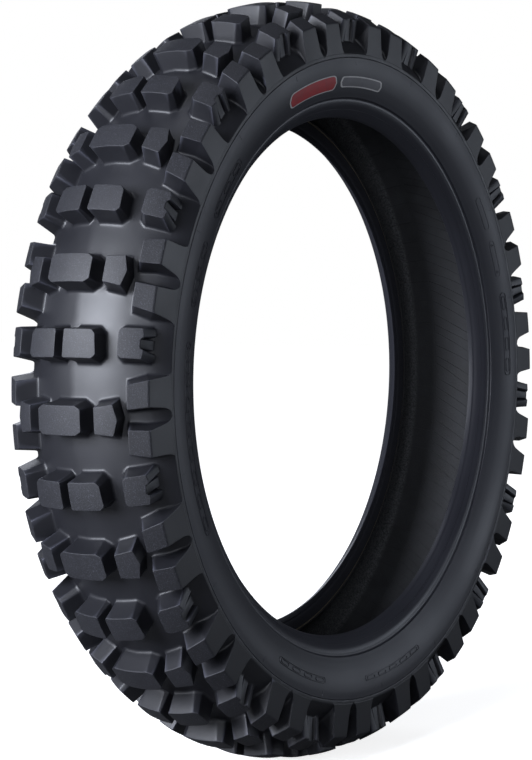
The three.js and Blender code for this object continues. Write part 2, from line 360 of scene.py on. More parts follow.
def knob_walls(surface, toe, foot, top, inset, fillet, edge):
    """Joins loops of points from a fillet's toe on the floor up to a rounded top edge."""
    wall = top - foot
    height = np.linalg.norm(wall, axis=1)[:, None]
    low = foot + wall * np.minimum(FILLET_RISE * fillet, FILLET_SHARE * height) / height
    high = top - wall * np.minimum(edge, ROUND_SHARE * height) / height
    lines = curve(toe, foot, low, 5) + [(low + high) / 2] + curve(high, top, inset, 3)
    loops = [surface.add(line) for line in lines]
    for lower, upper in zip(loops, loops[1:]):
        surface.bridge(lower, upper)
    return loops[0], loops[-1]


def crown_knob(surface, holes, row, corners, side):
    """A knob that stands on the crown, from the (s, lateral, draft, fillet) corners of its top."""
    flat = [(corner[0], KNOB_ARC * math.asin(corner[1] / KNOB_ARC), *corner[2:]) for corner in corners]
    points, leans, runs, outwards = outline_points(flat)

    def radius_over(v, arc):
        return ARC_CENTRE + arc * np.cos(v / KNOB_ARC)

    def on_top(p):
        tilt = p[:, 1] / KNOB_ARC
        radius = radius_over(p[:, 1], KNOB_ARC)
        return turn(side * KNOB_ARC * np.sin(tilt), radius, row + np.degrees(p[:, 0] / radius))

    def spots(reach):
        """Where the floor is, beyond the outline by a reach, as (degrees, along)."""
        s, v = points.T
        around = s / radius_over(v, KNOB_ARC) + reach[:, 0] / radius_over(v, FLOOR_ARC)
        along = FLOOR_ARC * v / KNOB_ARC + reach[:, 1]
        return joined(row + np.degrees(around), side * along)

    toe_spots = spots(leans + runs)
    inner = points - outwards * EDGE_ROUND
    fillet = np.linalg.norm(runs, axis=1)[:, None]
    lower = (on_floor(toe_spots), on_floor(spots(leans)))
    toe, rim = knob_walls(surface, *lower, on_top(points), on_top(inner), fillet, EDGE_ROUND)
    holes.append((toe, toe_spots))
    centre = inner.mean(0)
    for share in CAP_LOOPS:
        ring = surface.add(on_top(centre + (inner - centre) * share))
        surface.bridge(rim, ring)
        rim = ring
    hub = surface.add(on_top(centre[None, :]))[0]
    for a, b in zip(rim, rim[1:] + rim[:1]):
        surface.faces.append((a, b, hub))


SHOULDER_INNER = (55.3, 318.0)  # a shoulder knob's inner edge, as lateral and radius
SHOULDER_OUTER = (67.6, 309.2)  # where its top starts to round over into the outer wall
SHOULDER_CORNER = 308.5  # radius at which its top and its outer wall would meet
SHOULDER_WALL = (307.3, 281.3)  # radii of the outer wall's top and foot
SHOULDER_ANGLE = 3.475  # degrees between a shoulder knob's middle and its row
SHOULDER_HALF = 10.1  # half its length round the tire, at its corner
SHOULDER_SPREAD = 0.088  # growth of that half for each millimetre down the wall
SHOULDER_SLANT = 0.19  # how far it moves round the tire for each millimetre outward
SHOULDER_CUT = 0.33  # how much its two inner corners are cut back
SHOULDER_PROUD = 0.05  # how far its wall stands out past the half width
FLARE_LENGTH = 9.0  # the stretch at the foot of the wall where its ends flare
FLARES = {"groove": 3.9, "outer": 2.4}  # the flare of the end that faces its pair, and of the other end
# Each as a share of the wall's height, with the least and the most it may be.
SHOULDER_LEAN = (0.15, 0.1, 2.6)
SHOULDER_FILLET = (0.28, 0.2, 2.4)
SHOULDER_ROUND = (0.1, 0.06, EDGE_ROUND)


def shoulder_section():
    """The top of a shoulder knob and its outer wall, with the edge between them rounded."""
    wall = HALF_WIDTH + SHOULDER_PROUD
    wall_top, wall_foot = ((wall, radius) for radius in SHOULDER_WALL)
    top = np.linspace(SHOULDER_INNER, SHOULDER_OUTER, 6)
    edge = curve(np.array(SHOULDER_OUTER), np.array([wall, SHOULDER_CORNER]), np.array(wall_top), 3)
    side = np.linspace(wall_top, wall_foot, 8)
    return np.vstack([top[:-1], edge[:-1], side])


SHOULDER_SECTION = shoulder_section()
SHOULDER_LENGTH = distances(SHOULDER_SECTION)[-1]
SHOULDER_START = FLOOR_ARC * math.asin(SHOULDER_INNER[0] / KNOB_ARC)  # the floor under its inner edge


def share_of(height, share, least, most):
    return np.clip(share * height, least, most)


def shoulder_knob(surface, holes, row, way, side):
    """One of a pair of knobs whose outer walls run down the side of the tire."""

    def section(down):
        return point_at(SHOULDER_SECTION, np.clip(down, 0, SHOULDER_LENGTH))

    def half_length(down, reach):
        """It grows down the wall, and flares at the end so that the groove beside it ends round."""
        share = np.clip((down - SHOULDER_LENGTH + FLARE_LENGTH) / FLARE_LENGTH, 0, 1)
        flare = reach * (1 - np.sqrt(1 - 0.97 * share**2))
        return SHOULDER_HALF + SHOULDER_SPREAD * (SHOULDER_CORNER - section(down)[..., 1]) + flare

    def degrees_at(s, lateral, radius):
        slant = way * SHOULDER_SLANT * (lateral - HALF_WIDTH)
        return row + way * SHOULDER_ANGLE + np.degrees((s + slant) / radius)

    def on_top(p):
        lateral, radius = section(p[:, 1]).T
        return turn(side * lateral, radius, degrees_at(p[:, 0], lateral, radius))

    def spots(p):
        along = SHOULDER_START + (KNOB_END - SHOULDER_START) * p[:, 1] / SHOULDER_LENGTH
        radius = floor_at(along)[1]
        return joined(degrees_at(p[:, 0], section(p[:, 1])[:, 0], radius), side * along)

    columns = np.array([-1, -0.9, -0.5, 0, 0.5, 0.9, 1])
    near_ends = [0.95] + [SHOULDER_LENGTH - d for d in (7.0, 5.5, 2.4, 1.2, 0.4)]
    rows = np.sort(np.concatenate([distances(SHOULDER_SECTION), near_ends]))
    low_end, high_end = ("groove", "outer") if way > 0 else ("outer", "groove")
    low, high = -half_length(rows, FLARES[low_end]), half_length(rows, FLARES[high_end])
    across = low[:, None] + (high - low)[:, None] * (columns + 1) / 2
    grid = joined(across, rows[:, None])
    grid[0, 0] += (SHOULDER_CUT, SHOULDER_CUT)
    grid[0, -1] += (-SHOULDER_CUT, SHOULDER_CUT)

    last_row, last_column = len(rows) - 1, len(columns) - 1
    border = [(0, j) for j in range(last_column)] + [(i, last_column) for i in range(last_row)]
    border += [(last_row, j) for j in range(last_column, 0, -1)] + [(i, 0) for i in range(last_row, 0, -1)]
    points = np.array([grid[spot] for spot in border])
    facings = [((j == last_column) - (j == 0), (i == last_row) - (i == 0)) for i, j in border]
    outwards = np.array(facings, float)
    toward_middle = (outwards[:, 0] * way < 0)[:, None]

    height = np.linalg.norm(on_top(points) - on_floor(spots(points)), axis=1)[:, None]
    lean = share_of(height, *SHOULDER_LEAN) * np.where(toward_middle, 0.8, 1)
    fillet = share_of(height, *SHOULDER_FILLET)
    edge = share_of(height, *SHOULDER_ROUND)
    toe_spots = spots(points + outwards * (lean + fillet))
    foot = on_floor(spots(points + outwards * lean))
    inset = on_top(points - outwards * edge)
    toe, rim = knob_walls(surface, on_floor(toe_spots), foot, on_top(points), inset, fillet, edge)
    holes.append((toe, toe_spots))

    numbers = dict(zip(border, rim))
    for i in range(1, last_row):
        for j in range(1, last_column):
            numbers[i, j] = surface.add(on_top(grid[i, j][None, :]))[0]
    for i in range(last_row):
        for j in range(last_column):
            corners = ((i, j), (i, j + 1), (i + 1, j + 1), (i + 1, j))
            surface.faces.append(tuple(numbers[corner] for corner in corners))


# Corners of the knobs' tops on one side of the centre plane: (s round the tire, lateral, draft, fillet).
WIDE_MIDDLE = [
    (-8.3, -20.5, 2.2, 2.6), (8.3, -20.5, 2.2, 2.6), (11.3, -16, 3.0, 2.8), (11.3, 16, 2.2, 2.6),
    (8.3, 20.5, 2.2, 2.6), (-8.3, 20.5, 2.2, 2.6), (-11.3, 16, 3.0, 2.8), (-11.3, -16, 2.2, 2.6),
]
HALF_MIDDLE = [
    (-10, 4, 1.2, 1.0), (10, 4, 1.6, 1.6), (11, 5.2, 3.0, 2.8), (11, 29.2, 2.2, 2.6),
    (8, 32.3, 2.2, 2.6), (-8, 30.8, 2.2, 2.6), (-11, 27.8, 3.0, 2.8), (-11, 5.2, 1.6, 1.6),
]
SIDE_ARROW = [
    (-10, 31.5, 2.0, 2.4), (10, 31.5, 3.0, 2.8), (12, 45.5, 1.6, 1.3),
    (0, 48.5, 1.6, 1.3), (-12, 45.5, 3.0, 2.8),
]
NOTCHED = [
    (-10.5, 48.2, 2.2, 2.6), (7.5, 48.2, 2.2, 2.6), (10, 50.5, 2.4, 2.4), (10, 63.8, 8.6, 1.6),
    (3.2, 64.8, 0.4, 0.5), (1.7, 62.5, 9.0, 1.2), (-4.7, 62.5, 0.4, 0.5), (-6.2, 64.8, 8.6, 1.6),
    (-13, 63.8, 2.4, 2.4), (-13, 50.5, 2.2, 2.6),
]


# ---- the tread: one pitch, and the ring of pitches


PITCH_STEPS = ROUND_STEPS // PITCHES
PITCH_START = ROW_ANGLE - 6.85  # no knob crosses this line
PITCH_COLUMNS = PITCH_START + np.linspace(0, PITCH, PITCH_STEPS + 1)
DEGREE_LENGTH = 5.3  # about one degree's length on the floor, so that its triangles come out even
CLEARANCE = 1.4  # from a grid point of the floor to the nearest foot
TREAD_INNER_SIDE = [(60.4, 285), (61.4, TREAD_EDGE)]  # the tread's inner face beyond the crown


def inside(spots, loop):
    """Which spots lie inside a closed loop."""
    x, y = spots[:, :1], spots[:, 1:]
    (ax, ay), (bx, by) = loop.T, np.roll(loop, -1, axis=0).T
    spans = (ay > y) != (by > y)
    rise = np.where(by == ay, 1, by - ay)
    return (spans & (x < (bx - ax) * (y - ay) / rise + ax)).sum(1) % 2 == 1


def floor_tracks():
    """Distances from the centre plane at which the floor has vertices."""
    along = distances(FLOOR_LINE)
    crown_end = along[CROWN_STEPS]
    past_knobs = KNOB_END + 0.1
    valley = along[(along > crown_end) & (along < past_knobs)][2::3]
    half = np.concatenate([np.linspace(0, crown_end, 16), valley, along[along > past_knobs]])
    return np.concatenate([-half[:0:-1], half])


def fill_floor(surface, holes):
    """Adds one pitch's floor between the knobs' feet. Returns its vertex numbers by column."""
    grid = joined(PITCH_COLUMNS[:, None], floor_tracks())
    scale = np.array([DEGREE_LENGTH, 1])
    loops = [spots * scale for _, spots in holes]
    flat = grid.reshape(-1, 2) * scale
    clear = np.ones(len(flat), bool)
    for loop in loops:
        edges_along = np.roll(loop, -1, axis=0) - loop
        dense = np.concatenate([loop + edges_along * u for u in np.linspace(0, 0.9, 8)])
        reach = np.linalg.norm(flat[:, None] - dense[None], axis=2).min(1)
        clear &= ~inside(flat, loop) & (reach > CLEARANCE)
    clear = clear.reshape(grid.shape[:2])
    clear[[0, -1], :] = clear[:, [0, -1]] = True
    numbers = np.full(clear.shape, -1)
    numbers[clear] = surface.add(on_floor(grid[clear]))

    spots = np.concatenate([grid[clear] * scale] + loops)
    owners = np.concatenate([numbers[clear]] + [toe for toe, _ in holes])
    edges, first = [], int(clear.sum())
    for loop in loops:
        edges += [(first + i, first + (i + 1) % len(loop)) for i in range(len(loop))]
        first += len(loop)
    found, _, triangles, origins, _, _ = delaunay_2d_cdt([Vector(s) for s in spots], edges, [], 0, 1e-6)
    if len(found) != len(spots):
        raise ValueError("the feet of two knobs overlap")
    found = np.array(found)
    centres = np.array([found[list(t)].mean(0) for t in triangles])
    filled = np.ones(len(triangles), bool)
    for loop in loops:
        filled &= ~inside(centres, loop)
    for triangle, keep in zip(triangles, filled):
        if keep:
            surface.faces.append(tuple(int(owners[origins[v][0]]) for v in triangle))
    return numbers


def tread_pitch():
    """One pitch: a row with a wide middle knob, and half a pitch on, a split row."""
    surface, holes = Surface(), []
    split_row = ROW_ANGLE + PITCH / 2
    crown_knob(surface, holes, ROW_ANGLE, WIDE_MIDDLE, 1)
    for side in (FAR, NEAR):
        crown_knob(surface, holes, ROW_ANGLE, SIDE_ARROW, side)
        crown_knob(surface, holes, split_row, HALF_MIDDLE, side)
        crown_knob(surface, holes, split_row, NOTCHED, side)
        for way in (-1, 1):
            shoulder_knob(surface, holes, ROW_ANGLE, way, side)
    outside = fill_floor(surface, holes)

    crown = arc_line(TREAD_INNER_ARC, 0, CROWN_LAYERS, LAYER_STEPS)
    inner = both_halves(np.vstack([crown, TREAD_INNER_SIDE]))[::-1]
    inside_numbers = np.array([surface.add(turn(*inner.T, column)) for column in PITCH_COLUMNS])
    wrap = np.hstack([outside[:, -1:], inside_numbers, outside[:, :1]])
    for before, after in zip(wrap, wrap[1:]):
        for j in range(len(before) - 1):
            surface.faces.append((before[j], before[j + 1], after[j + 1], after[j]))
    left = np.concatenate([outside[0], inside_numbers[0]])
    right = np.concatenate([outside[-1], inside_numbers[-1]])
    return surface, left, right


def make_tread(finish):
    pitch, left, right = tread_pitch()
    points = np.array(pitch.vertices)
    order = np.full(len(points), -1)
    kept = np.setdiff1d(np.arange(len(points)), right)
    order[kept] = np.arange(len(kept))
    order[right] = order[left] + len(kept)  # the right cut is the next copy's left cut
    whole = Surface()
    x, y, z = points[kept].T
    for k in range(PITCHES):
        angle = math.radians(k * PITCH)
        cos, sin = math.cos(angle), math.sin(angle)
        whole.add(joined(x * cos - z * sin, y, x * sin + z * cos))
        numbers = (order + k * len(kept)) % (PITCHES * len(kept))
        whole.faces += [tuple(int(numbers[v]) for v in face) for face in pitch.faces]
    add_piece("knobby_tread", whole, ["tread"], finish, sharp=38)


# ---- the casing layers


CASING_CROWN = 36  # degrees off the centre plane that the casing's crown arc reaches
CASING_SIDE = [(56.6, 284.5), (59.3, 276), (59.6, 268), (57.2, 260), (51.2, 252.4), (42.9, 245)]


def casing_half():
    """The inner face of the first body ply, from the centre plane down to the bead."""
    crown = arc_line(CASING_ARC, 0, CASING_CROWN, 24)
    return np.vstack([crown[:-1], smooth_line([crown[-1], *CASING_SIDE], 5)])


BEAD_IN, BEAD_OUT, BEAD_BASE = 42.7, 51.7, 232.3  # the casing line round the bead wire
LINER = (-1.2, -0.3)  # layers, as distances outside the casing line
FIRST_PLY = (0.0, PLY)
SECOND_PLY = (PLY + GAP, 2 * PLY + GAP)
CHAFER = (-1.0, -0.3)
UNDER_TREAD_ARC = 85.6
BREAKERS = (("breaker_ply_outer", 84.4, CROWN_LAYERS / 2), ("breaker_ply_inner", 83.2, CROWN_LAYERS))
BREAKER = 0.9
UNDER_TREAD = 1.5


def under_bead():
    """The casing line round under the bead wire."""
    inner = [(BEAD_IN, 236.0), (BEAD_IN + 0.5, 233.6), (BEAD_IN + 2.6, BEAD_BASE)]
    outer = [(47.2, BEAD_BASE), (48.6, 233.2), (49.9, 234.7), (51.2, 236.3), (BEAD_OUT, 238.0)]
    return np.vstack([smooth_line(inner, 4), smooth_line(outer, 3)])


def make_plies(cord):
    turn_up = [(BEAD_OUT, 241), (61.1, 259)]
    first = both_halves(np.vstack([casing_half(), under_bead(), turn_up]))
    second = both_halves(np.vstack([casing_half(), [(BEAD_IN, 235.2)]]))
    make_ring("body_ply_sheet_inner", sheet(first, *FIRST_PLY), "body_ply_inner", cord)
    make_ring("body_ply_sheet_outer", sheet(second, *SECOND_PLY), "body_ply_outer", cord)
    for node, arc, reach in BREAKERS:
        line = both_halves(arc_line(arc, 0, reach, LAYER_STEPS))
        make_ring(node + "_sheet", sheet(line, 0, BREAKER), node, cord)


def make_under_tread(finish):
    line = both_halves(arc_line(UNDER_TREAD_ARC, 0, CROWN_LAYERS, LAYER_STEPS))
    make_ring("under_tread_layer", sheet(line, 0, UNDER_TREAD), "under_tread", finish)


# ---- marks that stand on a ring


class Skin:
    """A ring's visible face, for marks that follow it: spots are (degrees, distance along a section)."""

    def __init__(self, line, side):
        self.line = np.asarray(line, float)
        self.along = distances(self.line)
        self.length = self.along[-1]
        self.normals = normals_of(self.line)
        self.side = side

    def place(self, spots, lift=0.0):
        point = point_at(self.line, spots[:, 1]) + self.normal_at(spots[:, 1]) * lift
        return turn(self.side * point[:, 0], point[:, 1], spots[:, 0])

    def normal_at(self, along):
        normal = joined(*(np.interp(along, self.along, self.normals[:, k]) for k in (0, 1)))
        return normal / np.linalg.norm(normal, axis=1)[:, None]

    def ridge(self, surface, spots, width, height, closed=False):
        """A thin raised line through spots, standing off the face."""
        spine = self.place(spots)
        up = self.place(spots, 1.0) - spine
        if closed:
            along = np.roll(spine, -1, axis=0) - np.roll(spine, 1, axis=0)
        else:
            along = np.gradient(spine, axis=0)
        across = np.cross(along, up)
        across /= np.linalg.norm(across, axis=1)[:, None]
        half = np.full(len(spine), width / 2)
        if not closed:
            half[[0, -1]] *= 0.5
        surface.bar(spine, across, up, half, height, closed)

    def hoop(self, surface, along, width, height):
        """A ridge all the way round, at one distance along the section."""
        around = np.linspace(0, 360, ROUND_STEPS, endpoint=False)
        self.ridge(surface, joined(around, along), width, height, closed=True)

    def degrees_per_mm(self, along):
        return math.degrees(1 / float(point_at(self.line, along)[1]))


# ---- liner


LINER_LINES = 168  # thin cross lines that the moulding bladder's vents leave
LINER_EDGE = 36.5  # how far along the liner they reach from the centre plane
SIDE_LINE = 34.0  # length of the lines that go on down the side, below every second one
SPLICE = (-17.0, 98.0)  # degrees and millimetres that the liner's slanting splice covers


def liner_lines(surface, skin):
    """The crown's cross lines, each a little out of place, and the lines below them."""
    middle = skin.length / 2
    rng = random.Random(11)
    for i in range(LINER_LINES):
        at = i * 360 / LINER_LINES + rng.uniform(-0.25, 0.25)
        lean, bend = rng.uniform(-4.3, -3.5), rng.uniform(-0.35, 0.35)
        share = np.linspace(-1, 1, 14)
        around = at + lean * share + bend * np.cos(2.2 * share + i)
        skin.ridge(surface, joined(around, middle + share * LINER_EDGE), 1.1, 0.6)
        for way in (-1, 1):
            reach = np.linspace(0, 1, 8)
            start = middle + way * (LINER_EDGE + 1.5)
            slant = rng.uniform(2.2, 3.0)
            if i % 2 == 0:
                around = at + lean * way + slant * reach * 0.2
                skin.ridge(surface, joined(around, start + way * SIDE_LINE * reach), 0.8, 0.45)


def make_liner(finish):
    half = casing_half()
    surface = Surface()
    surface.ring(sheet(both_halves(half), *LINER))
    skin = Skin(both_halves(half + normals_of(half) * LINER[0])[::-1], 1)
    middle = skin.length / 2
    liner_lines(surface, skin)
    for way in (-1, 1):
        skin.hoop(surface, middle + way * LINER_EDGE, 0.9, 0.3)
    for start in (3.5, 3.1):
        share = np.linspace(0, 1, 16)
        spots = joined(start + SPLICE[0] * share, middle + 100 - SPLICE[1] * share)
        skin.ridge(surface, spots, 0.8, 0.5)
    add_piece("inner_liner_sheet", surface, ["inner_liner"], finish)


# ---- sidewalls and their plain marks


SIDEWALL_FACE = [(68.25, 277.4), (68.1, 271), (66.9, 263.5), (64.7, 256), (62.0, 249.5), (59.6, 244.6)]
SIDEWALL_FOOT = [(59.2, 243.7), (58.9, 243.3), (58.4, 243.1)]
SIDEWALL_OUTER = np.vstack([[(67.9, 277.75)], smooth_line(SIDEWALL_FACE, 6), SIDEWALL_FOOT])
SIDEWALL_INNER = [(54.8, 243.2), (63.2, 259.3), (62.7, 270.5), (61.2, 277.7)]

CAPSULE_STEP = 1.2  # the most degrees between spots along a capsule
PATCH_SINK = 0.25  # how far a painted patch's foot goes into the sidewall
TAG_ALONG = 17  # how far down the sidewall the two small blank tags lie
TAG_HALF_HEIGHT = 3.2
TAGS = ((24, 4.2), (35, 4.0))  # middle angle and half length, in degrees
DOTS = (24, 3.1, 1.2)  # the two round marks in the first tag: middle angle, reach in degrees, radius
VENT_MARKS = (2.0, 7.0)  # where the small vent ridges below the tread start and end


def capsule(skin, middle, along, half_angle, half_height, steps):
    """Spots round a long round-ended outline that follows a ring. Its half length is in degrees."""
    end_angle = half_height * skin.degrees_per_mm(along)
    spots = []
    for end, start in ((1, -90), (-1, 90)):
        for a in np.radians(np.linspace(start, start + 180, steps)):
            angle = middle + end * (half_angle - end_angle) + end_angle * math.cos(a)
            spots.append((angle, along + half_height * math.sin(a)))
    return refine(np.array(spots))


def refine(spots):
    """Adds spots along the long stretches of a closed outline."""
    out = []
    for a, b in zip(spots, np.roll(spots, -1, axis=0)):
        pieces = max(1, math.ceil(abs(b[0] - a[0]) / CAPSULE_STEP))
        out += [a + (b - a) * k / pieces for k in range(pieces)]
    return np.array(out)


def patch(surface, skin, middle, along, half_angle, half_height, lift):
    """A thin raised capsule-shaped patch that follows a ring's face, its foot sunk into the ring."""
    end_angle = half_height * skin.degrees_per_mm(along)
    tops, feet = [], []
    for c in np.linspace(-1, 1, 41):
        past = max(0.0, abs(c) * half_angle - (half_angle - end_angle)) / end_angle
        height = half_height * math.sqrt(max(0.0, 1 - past**2)) + 0.02
        across = np.linspace(-1, 1, 6) * height
        spots = joined(middle + c * half_angle, along + across)
        tops.append(surface.add(skin.place(spots, lift)))
        feet.append(surface.add(skin.place(spots, -PATCH_SINK)))
    loops = [top + foot[::-1] for top, foot in zip(tops, feet)]
    for before, after in zip(loops, loops[1:]):
        surface.bridge(before, after)
    for loop in (loops[0], loops[-1]):
        count = len(loop) // 2
        for j in range(count - 1):
            surface.faces.append((loop[j], loop[j + 1], loop[-2 - j], loop[-1 - j]))


def blank(surface, skin, shape, width, height, steps=10):
    """A ridge round an empty capsule."""
    skin.ridge(surface, capsule(skin, *shape, steps), width, height, closed=True)


def plain_marks(surface, skin, side):
    """Blank outlines and bars where a sidewall carries its markings. None of them is lettering."""
    for middle, span, along, half_height in BLANK_MARKS:
        blank(surface, skin, (middle, along, span / 2, half_height), 0.8, 0.6)
        cells = int(span / 4)
        for k in range(cells):
            at = middle - span / 2 + (k + 0.5) * span / cells
            blank(surface, skin, (at, along, 0.32 * span / cells, half_height * 0.6), 0.8, 0.6, 6)
    for middle, half_angle in TAGS:
        blank(surface, skin, (middle, TAG_ALONG, half_angle, TAG_HALF_HEIGHT), 0.6, 0.3)
    middle, reach, radius = DOTS
    for end in (-1, 1):
        around = np.linspace(0, 2 * math.pi, 10, endpoint=False)
        angle = middle + end * reach + radius * skin.degrees_per_mm(TAG_ALONG) * np.cos(around)
        spots = joined(angle, TAG_ALONG + radius * np.sin(around))
        skin.ridge(surface, spots, 0.7, 0.4, closed=True)
    rng = random.Random(5 + side)
    for at in np.arange(0, 360, PITCH) + ROW_ANGLE + PITCH / 2:
        skin.ridge(surface, joined(at + rng.uniform(-0.4, 0.4), np.linspace(*VENT_MARKS, 4)), 0.7, 0.25)


def make_sidewall(side, hand, finish, bands):
    surface = Surface()
    surface.ring(mirrored(np.vstack([SIDEWALL_OUTER, SIDEWALL_INNER]), side))
    skin = Skin(SIDEWALL_OUTER, side)
    plain_marks(surface, skin, side)
    add_piece("sidewall_ring_" + hand, surface, ["sidewall_" + hand], finish)
    for name, middle, half_angle, half_height, lift, paint in bands:
        band = Surface()
        patch(band, skin, middle, BAND_ALONG, half_angle, half_height, lift)
        add_piece(name + "_" + hand, band, [], paint)


# ---- bead parts


RIM_OUTER = [
    (57.9, 243.0), (57.1, 241.9), (56.8, 239.9), (55.4, 236.9), (52.7, 233.8), (49.7, 230.9), (47.2, 229.0),
]
RIM_BASE = [(46.4, 228.3), (46.1, 227.9), (44.6, 227.2), (43.4, 226.6), (42.9, 226.5), (42.6, 226.8)]
RIM_INSIDE = [(42.2, 228.4), (41.8, 230.9), (48.4, 231.0), (52.9, 236.3), (53.0, 240.8), (55.0, 242.85)]
RIM_LINES = ((3.2, 0.7, 0.3), (11.5, 0.5, 0.22))  # distance down the outer face, width, height


def make_rim_cushion(side, hand, finish):
    outer = smooth_line(RIM_OUTER, 5)
    surface = Surface()
    surface.ring(mirrored(np.vstack([outer, RIM_BASE, RIM_INSIDE]), side))
    skin = Skin(outer, side)
    for along, width, height in RIM_LINES:
        skin.hoop(surface, along, width, height)
    add_piece("rim_cushion_ring_" + hand, surface, ["rim_cushion_" + hand], finish)


BEAD_WIRES = (45.6, 48.8, 235.2, 240.0)  # inner and outer lateral, bottom and top radius of the bundle
WIRE_RADIUS = 0.5
WIRE_SPACING = 1.06
WIRE_ROWS = 5
FILLER = [(45.2, 241.1), (45.5, 244.2), (55.8, 255), (49.3, 243.5), (49.3, 241.1)]


def make_bead_wires(side, hand, finish):
    """A bundle of bronze-plated wires, one turn beside another."""
    inner, outer, bottom, top = BEAD_WIRES
    surface = Surface()
    around = np.linspace(0, 2 * math.pi, 8, endpoint=False)
    wire = WIRE_RADIUS * joined(np.cos(around), np.sin(around))
    for row, radius in enumerate(np.linspace(bottom + WIRE_RADIUS, top - WIRE_RADIUS, WIRE_ROWS)):
        count = 2 if row % 2 == 0 else 3
        for k in range(count):
            lateral = (inner + outer) / 2 + (k - (count - 1) / 2) * WIRE_SPACING
            surface.ring(mirrored(wire + (lateral, radius), side), 240)
    add_piece("bead_wires_" + hand, surface, ["bead_wire_" + hand], finish, sharp=60)


def make_bead_parts(side, hand, looks):
    inner, outer, bottom, top = BEAD_WIRES
    reach = GAP + 0.2
    wrap = [
        (inner - reach, top), (inner - reach, bottom - 0.1), (inner - 0.1, bottom - reach),
        (outer - 0.8, bottom - reach), (outer + reach, bottom + 1.6), (outer + reach, top),
    ]
    chafer = np.vstack([[(BEAD_IN + 0.1, 243)], under_bead(), [(BEAD_OUT, 241)]])
    make_bead_wires(side, hand, looks["bead_steel"])
    parts = (
        ("bead_wrap_tape_", mirrored(sheet(wrap, -0.2, 0.2), side), "bead_wrap_", "bead_fabric"),
        ("bead_filler_strip_", mirrored(FILLER, side), "bead_filler_", "liner_rubber"),
        ("chafer_strip_", mirrored(sheet(chafer, *CHAFER), side), "chafer_", "bead_fabric"),
    )
    for name, outline, node, slot in parts:
        make_ring(name + hand, outline, node + hand, looks[slot])


# ---- materials


class Look:
    """A procedural material, built node by node."""

    def __init__(self, name):
        self.material = bpy.data.materials.new(name)
        self.material.use_nodes = True
        self.tree = self.material.node_tree
        self.shader = self.tree.nodes["Principled BSDF"]
        self.place = self.node("ShaderNodeTexCoord").outputs["Object"]

    def node(self, kind, settings=None, **inputs):
        made = self.tree.nodes.new(kind)
        for key, value in (settings or {}).items():
            setattr(made, key, value)
        for key, value in inputs.items():
            self.feed(made.inputs[key.replace("_", " ")], value)
        return made

    def feed(self, socket, value):
        if isinstance(value, bpy.types.NodeSocket):
            self.tree.links.new(value, socket)
        else:
            socket.default_value = value

    def math(self, operation, a, b=0.0):
        made = self.node("ShaderNodeMath", {"operation": operation})
        self.feed(made.inputs[0], a)
        self.feed(made.inputs[1], b)
        return made.outputs[0]

    def noise(self, scale, detail=4.0, rough=0.55, place=None):
        where = place or self.place
        made = self.node("ShaderNodeTexNoise", Vector=where, Scale=scale, Detail=detail, Roughness=rough)
        return made.outputs["Fac"]

    def remap(self, value, low, high, new_low=0.0, new_high=1.0):
        made = self.node("ShaderNodeMapRange", Value=value)
        limits = {"From Min": low, "From Max": high, "To Min": new_low, "To Max": new_high}
        for key, number in limits.items():
            made.inputs[key].default_value = number
        return made.outputs["Result"]

    def mix(self, share, a, b):
        made = self.node("ShaderNodeMix", {"data_type": "RGBA"})
        self.feed(made.inputs[0], share)
        self.feed(made.inputs[6], a)
        self.feed(made.inputs[7], b)
        return made.outputs[2]

    def bump(self, height, strength, distance, normal=None):
        made = self.node("ShaderNodeBump", Height=height, Strength=strength, Distance=distance)
        if normal:
            self.feed(made.inputs["Normal"], normal)
        return made.outputs["Normal"]

    def hypot(self, a, b):
        return self.math("SQRT", self.math("ADD", self.math("POWER", a, 2.0), self.math("POWER", b, 2.0)))

    def round_axle(self):
        """Distance from the axle, lateral distance and angle round the axle, in metres and radians."""
        xyz = self.node("ShaderNodeSeparateXYZ", Vector=self.place).outputs
        return self.hypot(xyz[0], xyz[2]), xyz[1], self.math("ARCTAN2", xyz[2], xyz[0])

    def finish(self, **inputs):
        for key, value in inputs.items():
            self.feed(self.shader.inputs[key.replace("_", " ")], value)
        return self.material


def grey(level, blue=1.32):
    """A dark rubber colour, a little bluer than plain grey."""
    return (level, level * 1.03, level * blue, 1)


def tread_rubber():
    """Specks and a coarser grain on the knobs' tops, and a painted highlight along their edges."""
    look = Look("tread_rubber")
    radius, lateral, _ = look.round_axle()
    height = look.hypot(lateral, look.math("SUBTRACT", radius, ARC_CENTRE * MM))
    top = look.remap(height, (KNOB_ARC - 1.2) * MM, (KNOB_ARC - 0.6) * MM)
    smudge = look.noise(14, 5)
    grain = look.noise(950, 3)
    speck = look.remap(look.noise(1300, 2), 0.56, 0.68)
    # Painted highlight: where pointiness is high, the knobs' edges are painted pale. It is kept off the
    # flat cap.
    point = look.node("ShaderNodeNewGeometry").outputs["Pointiness"]
    off_cap = look.remap(height, (KNOB_ARC - 0.4) * MM, (KNOB_ARC - 0.2) * MM, 1.0, 0.0)
    edge = look.math("MULTIPLY", look.remap(point, 0.52, 0.62), off_cap)
    colour = look.mix(smudge, grey(0.007), grey(0.014))
    colour = look.mix(look.math("MULTIPLY", speck, look.math("MULTIPLY", top, 0.35)), colour, grey(0.10))
    # paints the edge highlight in a pale grey
    colour = look.mix(look.math("MULTIPLY", edge, 0.55), colour, grey(0.2))
    rough = look.math("ADD", look.remap(smudge, 0.3, 0.7, 0.40, 0.50), look.math("MULTIPLY", top, 0.14))
    strength = look.math("ADD", 0.22, look.math("MULTIPLY", top, 0.4))
    normal = look.bump(grain, strength, 0.00025)
    return look.finish(Base_Color=colour, Roughness=rough, Normal=normal)


